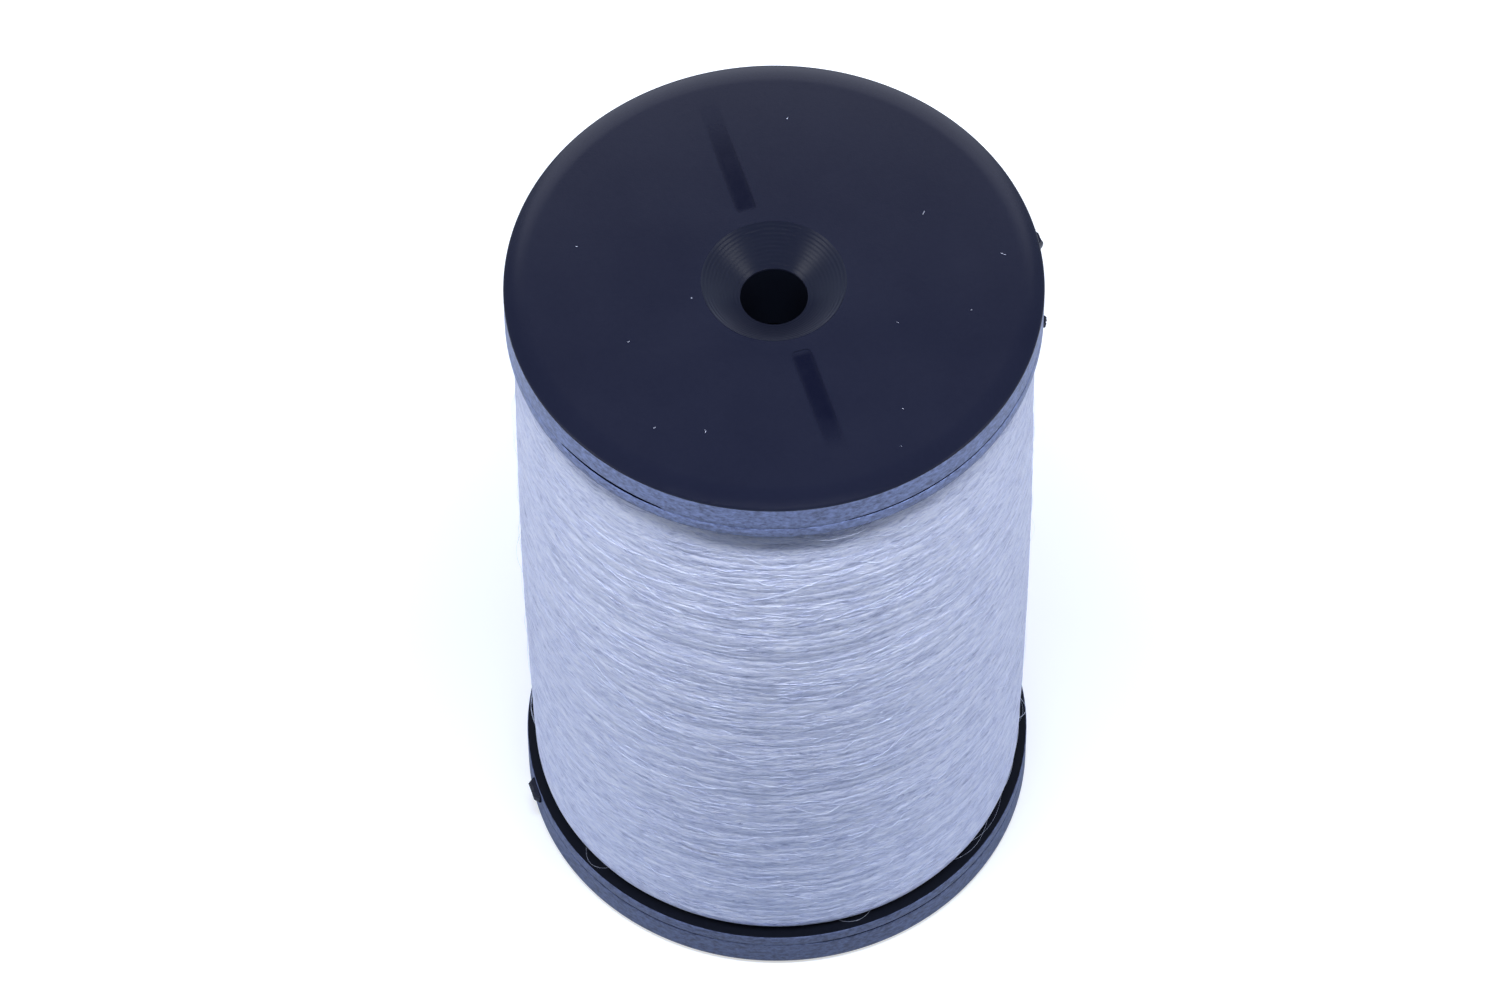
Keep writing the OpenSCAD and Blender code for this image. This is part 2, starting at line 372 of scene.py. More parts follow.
@dataclass(frozen=True)
class ThreadFinish:
    """Soft untwisted thread: crimped filaments that lie round the spool and cross at small angles."""

    name: str
    colour: Colour
    # shade and gap are darker tones that stand for the shade between fibres and bundles (painted
    # shade); bright is a painted highlight along the fibres.
    shade: Colour
    gap: Colour
    bright: Colour
    bundle: float = 0.095
    bundle_detail: tuple[float, float] = (2.5, 0.62)
    band: float = 0.30
    fibre: float = 0.13
    fibre_width: float = 0.045
    stretch: float = 6.8
    crossing_shift: float = 0.021
    crossing_growth: float = 1.2
    fibre_detail: float = 1.5
    shares: tuple[float, float, float] = (0.42, 0.33, 0.25)
    stops: tuple[float, float, float] = (0.375, 0.48, 0.57)
    crimp: float = 0.90
    crimp_length: float = 0.80
    bundle_depth: float = 0.009
    fibre_depth: float = 0.005
    sheen: float = 0.2
    roughness: float = 0.78
    sheen_roughness: float = 0.4
    specular: float = 0.25
    highlight: float = 0.36
    specks: float = 0.009
    speck_size: float = 0.06
    speck_spacing: float = 2.5
    speck_colour: Colour = (0.06, 0.06, 0.08)

    def _lying(self, kit: NodeKit, shift: float) -> Term:
        """Coordinates drawn out round the spool and bent by the crimp.

        Args:
            kit: the tree that is built.
            shift: moves the pattern, in metres, so that two families of filaments cross.

        Returns:
            The coordinates.
        """
        slim = 1 / self.stretch
        bend = kit.noise(kit.place((0.6, 0.6, 1.0), (shift,) * 3), self.crimp_length, 2.0)
        drawn = kit.place((slim, slim, 1.0), (shift,) * 3)
        return kit.moved(drawn, (bend - 0.5) * (self.crimp * MM), (0, 0, 1))

    def build(self) -> bpy.types.Material:
        """Makes the material."""
        kit = NodeKit(bpy.data.materials.new(self.name))
        first = self._lying(kit, 0.0)
        second = self._lying(kit, self.crossing_shift)
        bundle = kit.noise(first, self.bundle, *self.bundle_detail)
        crossing = kit.noise(second, self.bundle * self.crossing_growth, *self.bundle_detail)
        fibres = [kit.noise(lie, self.fibre, self.fibre_detail) for lie in (first, second)]
        fibre = fibres[0].ridge(self.fibre_width) + fibres[1].ridge(self.fibre_width)
        band = kit.noise(second, self.band)
        # The noise ramp from gap through shade to colour varies the tone at random and also paints the
        # shade between bundles; the bright fibre lines are a painted highlight.
        level = bundle * self.shares[0] + crossing * self.shares[1] + band * self.shares[2]
        colour = kit.ramp(level, list(zip(self.stops, (self.gap, self.shade, self.colour))))
        colour = kit.mix(fibre * self.highlight, colour, self.bright)
        speck = kit.spots(kit.place(), self.speck_spacing, self.specks, self.speck_size)
        colour = kit.mix(speck, colour, self.speck_colour)
        relief = bundle * 0.6 + crossing * 0.4
        normal = kit.bump(relief, self.bundle_depth, kit.bump(fibre, self.fibre_depth))
        return kit.finish(
            {
                "Base Color": colour,
                "Roughness": self.roughness,
                "Sheen Weight": self.sheen,
                "Sheen Roughness": self.sheen_roughness,
                "Specular IOR Level": self.specular,
                "Normal": normal,
            }
        )


FACE = MouldedPlastic(
    "face_black", (0.0050, 0.0062, 0.0162), (0.0080, 0.0097, 0.0226), 0.24, 0.32, dust=0.035
)
TURNED = MouldedPlastic(
    "turned_black",
    (0.0046, 0.0060, 0.0145),
    (0.0078, 0.0094, 0.0205),
    0.31,
    0.4,
    grain=0.06,
    grain_depth=0.002,
)
# Painted shade: a darker copy of the black plastic for the spindle bore and for the thin flanges' faces
# and edges beside the winding, where shade falls.
INNER_PAINTED_SHADE = MouldedPlastic("inner_painted_shade", (0.0024, 0.0032, 0.0066), (0.0046, 0.0058, 0.0112), 0.60, 0.2)
# Black plastic given a pale blue-grey colour that stands in for the bright floor the rims reflect:
# painted reflection. Its fine streaks are the rim's own grain.
RIM_PAINTED_REFLECTION = MouldedPlastic(
    "rim_painted_reflection",
    (0.058, 0.078, 0.175),
    (0.190, 0.250, 0.500),
    0.40,
    grain=0.05,
    grain_depth=0.010,
    cloud=0.8,
    smear=(0.6, 0.6, 1.0),
    fleck=0.20,
    fleck_share=0.8,
    contrast=3.2,
)
# A dimmer copy of the rim's painted reflection for the lower rims, which reflect the floor in the
# spool's shadow: painted shade.
LOWER_RIM_PAINTED_SHADE = replace(
    RIM_PAINTED_REFLECTION, name="lower_rim_painted_shade", colour=(0.040, 0.050, 0.108), cloud_colour=(0.125, 0.160, 0.305)
)
# In the thread's colours, shade and gap are painted shade between fibres and bundles, and bright is a
# painted highlight along fibres; the tones also vary at random.
THREAD = ThreadFinish(
    "white_thread", (0.725, 0.765, 0.955), (0.57, 0.62, 0.86), (0.34, 0.38, 0.59), (0.82, 0.855, 1.0)
)
# The same thread with lighter shade and gap tones, that is less painted shade, for filaments that lie
# on top of the turns.
LOOSE = ThreadFinish(
    "loose_fibre", (0.74, 0.80, 1.0), (0.66, 0.72, 0.96), (0.50, 0.55, 0.78), (0.76, 0.82, 1.0)
)


class Finish(IntEnum):
    """Places of the finishes among a moulding's material slots."""

    FACE = 0
    RIM_PAINTED_REFLECTION = 1
    TURNED = 2
    INNER_PAINTED_SHADE = 3
    LOWER_RIM_PAINTED_SHADE = 4


MOULDING = (FACE, RIM_PAINTED_REFLECTION, TURNED, INNER_PAINTED_SHADE, LOWER_RIM_PAINTED_SHADE)


# ---- mesh tools


@dataclass
class Mesh:
    """Points in millimetres, with faces and the finish of each face."""

    points: np.ndarray
    faces: list[Sequence[int]]
    finishes: list[int]

    def joined(self, other: "Mesh") -> "Mesh":
        """This mesh and another as one, not welded."""
        shift = len(self.points)
        moved = [tuple(i + shift for i in face) for face in other.faces]
        points = np.concatenate([self.points, other.points])
        return Mesh(points, self.faces + moved, self.finishes + other.finishes)

    def make(self, name: str, materials: Materials, sharp: float = 35) -> bpy.types.Object:
        """Makes a Blender object.

        Args:
            name: the object's name.
            materials: its materials, in the order of the finishes.
            sharp: the angle in degrees past which an edge is sharp.

        Returns:
            The object, linked to the scene.
        """
        data = bpy.data.meshes.new(name)
        data.from_pydata((self.points * MM).tolist(), [], self.faces)
        for material in materials:
            data.materials.append(material)
        data.polygons.foreach_set("material_index", self.finishes)
        data.polygons.foreach_set("use_smooth", [True] * len(self.faces))
        data.update()
        data.set_sharp_from_angle(angle=math.radians(sharp))
        made = bpy.data.objects.new(name, data)
        bpy.context.collection.objects.link(made)
        return made


def settle(piece: bpy.types.Object, slot: str, *nodes: str) -> bpy.types.Object:
    """Makes a piece ride on the spool, and stand for CAD nodes if any are named."""
    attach(piece, BODY)
    if nodes:
        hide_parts(*nodes)
    log.info("%s: %d faces", piece.name, len(piece.data.polygons))
    return piece


@dataclass
class Outline:
    """A closed outline of radius and height that is turned round the axis."""

    points: list[tuple[float, float]] = field(default_factory=list)
    finishes: list[int] = field(default_factory=list)
    lifts: list[float] = field(default_factory=list)

    def add(self, points: Sequence[tuple[float, float]], finish: int, lift: float = 0.0) -> None:
        """Adds points.

        Args:
            points: radius and height of each.
            finish: the finish of the surface that starts at each.
            lift: how much of the warp each follows, from 0 to 1.
        """
        self.points.extend(points)
        self.finishes.extend([finish] * len(points))
        self.lifts.extend([lift] * len(points))

    def turned(self, steps: int, warp: Callable[[np.ndarray], np.ndarray] | None = None) -> Mesh:
        """Turns the outline round the axis.

        Args:
            steps: how many copies of it go round.
            warp: a lift for each angle, in millimetres.

        Returns:
            The closed surface.
        """
        angle = np.arange(steps) * (2 * math.pi / steps)
        outline = np.array(self.points)
        lift = warp(angle) if warp else np.zeros(steps)
        height = outline[None, :, 1] + lift[:, None] * np.array(self.lifts)[None, :]
        radius = np.broadcast_to(outline[None, :, 0], height.shape)
        points = on_spool(angle[:, None], radius, height).reshape(-1, 3)
        count = len(outline)
        faces, finishes = [], []
        for i in range(steps):
            here, there = i * count, (i + 1) % steps * count
            for j in range(count):
                k = (j + 1) % count
                faces.append((here + j, there + j, there + k, here + k))
                finishes.append(self.finishes[j])
        return Mesh(points, faces, finishes)


def arc(centre: tuple[float, float], radius: float, start: float, end: float, steps: int) -> list:
    """Points along an arc from one angle to another, in degrees."""
    turns = [math.radians(start + (end - start) * i / steps) for i in range(steps + 1)]
    return [(centre[0] + radius * math.cos(t), centre[1] + radius * math.sin(t)) for t in turns]


def swept(centres: np.ndarray, across: np.ndarray, out: np.ndarray, section: np.ndarray) -> Mesh:
    """Closed tubes along paths.

    Args:
        centres: points of each path, shaped (paths, points, 3).
        across: the direction of the section's first axis, scaled by its half width.
        out: the direction of the section's second axis, scaled by its half height.
        section: points of the section, shaped (sides, 2).

    Returns:
        All the tubes as one mesh.
    """
    points = (
        centres[:, :, None, :]
        + across[:, :, None, :] * section[None, None, :, :1]
        + out[:, :, None, :] * section[None, None, :, 1:]
    )
    paths, count, sides = points.shape[:3]
    index = np.arange(paths * count * sides).reshape(paths, count, sides)
    after = np.roll(index, -1, axis=2)
    walls = np.stack([index[:, :-1], after[:, :-1], after[:, 1:], index[:, 1:]], axis=-1).reshape(-1, 4)
    kinds = (walls, index[:, 0, ::-1], index[:, -1])
    faces = [tuple(face) for kind in kinds for face in kind.tolist()]
    return Mesh(points.reshape(-1, 3), faces, [0] * len(faces))


def section_of(*degrees: float) -> np.ndarray:
    """Points of the unit circle at the given angles, as a tube's section."""
    turns = np.radians(degrees)
    return np.stack([np.cos(turns), np.sin(turns)], axis=-1)


TRIANGLE = section_of(210, 330, 90)
HEXAGON = section_of(*range(0, 360, 60))


def on_spool(angle: np.ndarray, radius: np.ndarray, height: np.ndarray) -> np.ndarray:
    """Points from an angle, a radius and a height."""
    x, y = radius * np.cos(angle), radius * np.sin(angle)
    return np.stack(np.broadcast_arrays(x, y, height), axis=-1)


def strewn(
    seed: int, number: int, count: int
) -> tuple[np.random.Generator, tuple[int, int], np.ndarray]:
    """What paths strewn at random start from.

    Args:
        seed: of the random numbers.
        number: how many paths.
        count: points in each.

    Returns:
        The random numbers, the shape of one draw for each path, and the places along a path.
    """
    return np.random.default_rng(seed), (number, 1), np.linspace(0, 1, count)[None, :]


def wander(rng: np.random.Generator, rows: int, count: int, reach: float) -> np.ndarray:
    """Smooth random curves with a spread of 1.

    Args:
        rng: the random numbers.
        rows: how many curves.
        count: samples in each.
        reach: the distance in samples over which a curve changes.

    Returns:
        The curves, shaped (rows, count).
    """
    own_spread = 0.68
    knots = max(4, int(count / reach) + 4)
    raw = rng.normal(size=(rows, knots))
    at = np.linspace(1, knots - 2.001, count)
    low = at.astype(int)
    t = at - low
    p0, p1, p2, p3 = (raw[:, low + k] for k in (-1, 0, 1, 2))
    blend = (
        (1 - t) ** 3 * p0
        + (3 * t**3 - 6 * t**2 + 4) * p1
        + (-3 * t**3 + 3 * t**2 + 3 * t + 1) * p2
        + t**3 * p3
    )
    return blend / 6 / own_spread


# ---- mouldings


@dataclass(frozen=True)
class Opening:
    """A stretch of the slit that stands open, in degrees round the spool."""

    start: float
    end: float
    width: float


@dataclass(frozen=True)
class Slit:
    """The slit between an end cap and its thin flange, pinched shut here and there."""

    openings: tuple[Opening, ...]
    shut: float = 0.010
    ripple: float = 0.006
    bluntness: float = 0.25

    def width(self, angle: np.ndarray) -> np.ndarray:
        """The slit's width at each angle."""
        degrees = np.degrees(angle) % 360
        width = self.shut + self.ripple * (1 + np.sin(3 * angle + 0.7)) / 2
        for gap in self.openings:
            along = np.clip((degrees - gap.start) / (gap.end - gap.start), 0, 1)
            width = width + gap.width * np.sin(np.pi * along).clip(0, 1) ** self.bluntness
        return width


@dataclass(frozen=True)
class GateMark:
    """A stub of plastic left where a moulding was broken off its runner."""

    angle: float
    width: float
    out: float
    low: float
    high: float
    lean: float
    seed: int
    root: float = 0.15
    corner: float = 0.12
    hem: float = 0.2
    least: float = 0.25
    flatness: float = 0.6
    rough: float = 0.09
    across: int = 7
    up: int = 5

    def mesh(self, rim: float) -> Mesh:
        """Makes the stub, ragged on its broken faces.

        Args:
            rim: radius of the rim that it stands on.

        Returns:
            A closed mesh.
        """
        across, up = self.across, self.up
        part, level = np.meshgrid(np.linspace(0, 1, across), np.linspace(0, 1, up))
        edge = np.minimum(part / self.corner, (1 - part) / max(self.lean, self.corner)).clip(max=1)
        belly = (np.minimum(level, 1 - level) / self.hem).clip(max=1)
        bulge = self.flatness + (1 - self.flatness) * belly
        grain = np.random.default_rng(self.seed).normal(size=(2, up, across))[1]
        reach = self.out * (self.least + (1 - self.least) * edge * bulge + self.rough * grain)
        radius = rim + np.stack([np.full_like(reach, -self.root), reach])
        turn = math.radians(self.angle) + (part - 0.5) * self.width / rim
        points = on_spool(turn, radius, self.low + (self.high - self.low) * level).reshape(-1, 3)
        size = across * up
        faces: list[Sequence[int]] = []
        for j in range(up - 1):
            for i in range(across - 1):
                a = j * across + i
                inner = (a, a + across, a + across + 1, a + 1)
                faces.append(inner)
                faces.append(tuple(size + k for k in reversed(inner)))
        border = (
            list(range(across))
            + [j * across + across - 1 for j in range(1, up)]
            + [(up - 1) * across + i for i in range(across - 2, -1, -1)]
            + [j * across for j in range(up - 2, 0, -1)]
        )
        for a, b in zip(border, border[1:] + border[:1]):
            faces.append((a, b, size + b, size + a))
        return Mesh(points, faces, [int(Finish.FACE)] * len(faces))


@dataclass
class EndCap:
    """A disc with a conical seat, two grooves and a plug that holds it in the barrel."""

    flange_r: float
    thickness: float
    slit: Slit
    gate: GateMark
    spindle_r: float = 1.6
    cone_r: float = 3.425
    cone_depth: float = 1.3
    ring_pitch: float = 0.155
    ring_depth: float = 0.018
    edge_fall_w: float = 1.1
    edge_fall: float = 0.24
    edge_r: float = 0.1
    lip_r: float = 0.05
    slit_depth: float = 3.2
    groove_in: float = 4.12
    groove_out: float = 10.5
    groove_w: float = 0.9
    groove_depth: float = 0.04
    groove_angle: float = 107.0
    groove_fade: float = 3.2
    groove_corner: float = 0.22
    boss_r: float = 2.6
    boss_h: float = 4.0
    plug_r: float = 4.5
    plug_wall: float = 0.9
    plug_h: float = 4.5
    plug_lead: float = 0.4
    band_steps: int = 12
    face_loops: tuple[float, ...] = (8.5, 5.5)
    cone_loop: float = 0.12
    slit_loop: float = 0.5
    bend_loops: tuple[float, float] = (1.4, 0.6)
    rim_loops: tuple[float, float] = (0.25, 0.4)
    steps: int = 360
    turn: float = 0.0
    turned_over: bool = False

    def face_finish(self, name: str, plastic: MouldedPlastic) -> MouldedPlastic:
        """The plastic with this cap's grooves shaded in."""
        angle = self.turn + (-self.groove_angle if self.turned_over else self.groove_angle)
        shade = GrooveShade(
            angle, self.groove_in, self.groove_out, self.groove_fade, self.groove_w / 2
        )
        return replace(plastic, name=name, grooves=shade)

    def _slit_width(self, angle: np.ndarray) -> np.ndarray:
        """The slit's width at angles counted on the cap, which may lie turned or turned over."""
        return self.slit.width(math.radians(self.turn) + (-angle if self.turned_over else angle))

    def _cone(self) -> list[tuple[float, float]]:
        """The conical seat with its turning rings, from the face down to the bore."""
        width = self.cone_r - self.spindle_r
        each, shallowest, fading = 4, 0.4, 0.6
        count = int(width / self.ring_pitch) * each
        cut = np.random.default_rng(5).uniform(shallowest, 1.0, count // each + 1)
        points = []
        for i in range(count + 1):
            part = i / count
            radius = self.cone_r - width * part
            ring = (1 - math.cos(2 * math.pi * i / each)) / 2 * cut[i // each] * (1 - fading * part)
            points.append((radius, self.thickness - self.cone_depth * part - ring * self.ring_depth))
        return points

    def outline(self) -> Outline:
        """The cap's outline, with height 0 on the thin flange."""
        top = self.thickness
        slope = math.degrees(math.atan(2 * self.edge_fall / self.edge_fall_w))
        end = self.flange_r - self.edge_r * (1 - math.sin(math.radians(slope)))
        centre_z = top - self.edge_fall - self.edge_r * math.cos(math.radians(slope))
        inner = self.plug_r - self.plug_wall
        made = Outline()
        foot = -self.boss_h
        made.add([(self.spindle_r, foot), (self.boss_r, foot), (self.boss_r, 0)], Finish.FACE)
        lead = self.plug_lead
        made.add([(inner, 0), (inner, -self.plug_h), (self.plug_r - lead, -self.plug_h)], Finish.FACE)
        made.add([(self.plug_r, lead - self.plug_h), (self.plug_r, 0)], Finish.FACE)
        reach = self.flange_r - self.slit_depth
        made.add([(reach, 0), (reach + self.slit_loop, 0)], Finish.FACE)
        lip = self.flange_r - self.lip_r
        bend_in, bend_out = self.bend_loops
        made.add([(reach + bend_in, 0.0), (lip - bend_out, 0.0)], Finish.FACE, 1.0)
        made.add(arc((lip, self.lip_r), self.lip_r, -90, 0, 3), Finish.RIM_PAINTED_REFLECTION, 1.0)
        low, high = self.lip_r + self.rim_loops[0], centre_z - self.rim_loops[1]
        made.add([(self.flange_r, low), (self.flange_r, high)], Finish.RIM_PAINTED_REFLECTION, 0.0)
        edge = (self.flange_r - self.edge_r, centre_z)
        made.add(arc(edge, self.edge_r, 0, 90 - slope, 4), Finish.FACE)
        parts = [i / self.band_steps for i in range(self.band_steps - 1, -1, -1)]
        band = [(end - self.edge_fall_w * (1 - t), top - self.edge_fall * t**2) for t in parts]
        made.add(band, Finish.FACE)
        loops = (*self.face_loops, self.cone_r + self.cone_loop)
        made.add([(radius, top) for radius in loops], Finish.FACE)
        made.add(self._cone(), Finish.TURNED)
        # The bore takes the darker inner finish: painted shade in the hole.
        made.add([(self.spindle_r, top - self.cone_depth - 0.1)], Finish.INNER_PAINTED_SHADE)
        return made

    def _groove_cutter(self, angle: float) -> Mesh:
        """A shallow bar that fades out towards the rim, to be cut from the face."""
        corner, top = self.groove_corner, self.thickness
        half = self.groove_w / 2
        start, end = self.groove_in, self.groove_out
        far, near, side = end - corner, start + corner, half - corner
        centres = ((far, side), (near, side), (near, -side), (far, -side))
        flat = [at for i, c in enumerate(centres) for at in arc(c, corner, 90 * i, 90 * (i + 1), 4)]
        turn = math.radians(angle)
        points = []
        cos, sin, clear, fade = math.cos(turn), math.sin(turn), 0.5, 0.9
        for level in (0, 1):
            for x, y in flat:
                depth = self.groove_depth * (1 - fade * ((x - start) / (end - start)) ** 3)
                z = top - depth if level == 0 else top + clear
                points.append((x * cos - y * sin, x * sin + y * cos, z))
        count = len(flat)
        faces: list[Sequence[int]] = [tuple(range(count - 1, -1, -1)), tuple(range(count, 2 * count))]
        for i in range(count):
            j = (i + 1) % count
            faces.append((i, j, count + j, count + i))
        return Mesh(np.array(points), faces, [int(Finish.FACE)] * len(faces))

    def build(self, name: str, place: Matrix, materials: Materials) -> bpy.types.Object:
        """Makes the cap.

        Args:
            name: the object's name.
            place: where the cap goes, in millimetres.
            materials: one for each finish.

        Returns:
            The object.
        """
        disc = self.outline().turned(self.steps, self._slit_width).make(name, materials)
        grooves = [self._groove_cutter(self.groove_angle + side) for side in (0, 180)]
        cutter = grooves[0].joined(grooves[1]).make(name + "_cutter", materials)
        cut = disc.modifiers.new("grooves", "BOOLEAN")
        cut.object = cutter
        cut.operation = "DIFFERENCE"
        cut.solver = "EXACT"
        bpy.context.view_layer.update()
        evaluated = disc.evaluated_get(bpy.context.evaluated_depsgraph_get())
        shaped = bpy.data.meshes.new_from_object(evaluated)
        disc.modifiers.clear()
        disc.data = shaped
        bpy.data.objects.remove(cutter)
        stub = self.gate.mesh(self.flange_r).make(name + "_gate", materials, 60)
        whole = bmesh.new()
        whole.from_mesh(shaped)
        whole.from_mesh(stub.data)
        bpy.data.objects.remove(stub)
        scaled = place.copy()
        scaled.translation = place.translation * MM
        bmesh.ops.transform(whole, matrix=scaled, verts=whole.verts)
        whole.to_mesh(shaped)
        whole.free()
        shaped.polygons.foreach_set("use_smooth", [True] * len(shaped.polygons))
        shaped.set_sharp_from_angle(angle=math.radians(MOULDED))
        return disc


@dataclass
class Barrel:
    """A tube with a thin flange at each end."""

    flange_r: float
    low: float
    high: float
    flange_t: float
    gates: tuple[GateMark, ...]
    tube_r: float = 6.0
    bore_r: float = 4.5
    corner_r: float = 0.5
    edge_r: float = 0.035
    painted_shade_edge_r: float = 0.06
    loop_r: float = 9.0
    steps: int = 360

    def outline(self) -> Outline:
        """The barrel's outline."""
        edge, dark, rim = self.edge_r, self.painted_shade_edge_r, self.flange_r
        inner_low, inner_high = self.low + self.flange_t, self.high - self.flange_t
        made = Outline()
        # The thin flanges' faces beside the winding and the rounded edge under the upper flange take
        # the darker inner finish: painted shade.
        made.add([(self.bore_r, self.low), (self.loop_r, self.low)], Finish.FACE)
        made.add(arc((rim - edge, self.low + edge), edge, -90, 0, 3), Finish.LOWER_RIM_PAINTED_SHADE)
        made.add(arc((rim - edge, inner_low - edge), edge, 0, 90, 3), Finish.LOWER_RIM_PAINTED_SHADE)
        made.finishes[-1] = int(Finish.INNER_PAINTED_SHADE)
        made.add([(self.loop_r, inner_low)], Finish.INNER_PAINTED_SHADE)
        corner = self.tube_r + self.corner_r
        made.add(arc((corner, inner_low + self.corner_r), self.corner_r, 270, 180, 4), Finish.INNER_PAINTED_SHADE)
        made.add(arc((corner, inner_high - self.corner_r), self.corner_r, 180, 90, 4), Finish.INNER_PAINTED_SHADE)
        made.add([(self.loop_r, inner_high)], Finish.INNER_PAINTED_SHADE)
        made.add(arc((rim - dark, inner_high + dark), dark, -90, 0, 3), Finish.INNER_PAINTED_SHADE)
        made.finishes[-1] = int(Finish.RIM_PAINTED_REFLECTION)
        made.add(arc((rim - edge, self.high - edge), edge, 0, 90, 3), Finish.RIM_PAINTED_REFLECTION)
        made.finishes[-1] = int(Finish.FACE)
        made.add([(self.loop_r, self.high), (self.bore_r, self.high)], Finish.FACE)
        return made

    def build(self, name: str, materials: Materials) -> bpy.types.Object:
        """Makes the barrel with its gate marks."""
        mesh = self.outline().turned(self.steps)
        for gate in self.gates:
            mesh = mesh.joined(gate.mesh(self.flange_r))
        return mesh.make(name, materials, MOULDED)


@dataclass(frozen=True)
class Lint:
    """Specks and short fibres of lint that lie on the upper face."""

    level: float
    inner: float = 4.3
    outer: float = 11.0
    number: int = 12
    longest: float = 0.28
    thickness: float = 0.010
    shortest: float = 0.05
    spread: tuple[float, float] = (1.3, 0.07)
    bend: float = 1.5
    perch: float = 0.7
    count: int = 8
    seed: int = 61

    def mesh(self) -> Mesh:
        """Makes the fibres, each bent its own way."""
        rng = np.random.default_rng(self.seed)
        count, rows = self.count, (self.number, 1)
        radius = np.sqrt(rng.uniform(self.inner**2, self.outer**2, rows))
        angle = rng.uniform(0, 2 * math.pi, rows)
        length = (rng.gamma(*self.spread, rows) + self.shortest).clip(max=self.longest)
        heading = rng.uniform(0, 2 * math.pi, rows)
        heading = heading + rng.normal(0, self.bend, rows) * np.linspace(0, 1, count)
        x = radius * np.cos(angle) + np.cumsum(np.cos(heading), axis=1) * length / count
        y = radius * np.sin(angle) + np.cumsum(np.sin(heading), axis=1) * length / count
        centres = np.stack([x, y, np.full_like(x, self.level + self.thickness * self.perch)], axis=-1)
        across = np.stack([np.sin(heading), -np.cos(heading), np.zeros_like(x)], axis=-1)
        out = np.broadcast_to(np.array([0.0, 0.0, 1.0]), centres.shape)
        return swept(centres, across * self.thickness, out * self.thickness, TRIANGLE)


# ---- thread


@dataclass(frozen=True)
class Valley:
    """A shallow furrow that a steeper turn of thread leaves in the winding."""

    height: float
    rise: float
    swing: float
    phase: float
    depth: float
    width: float


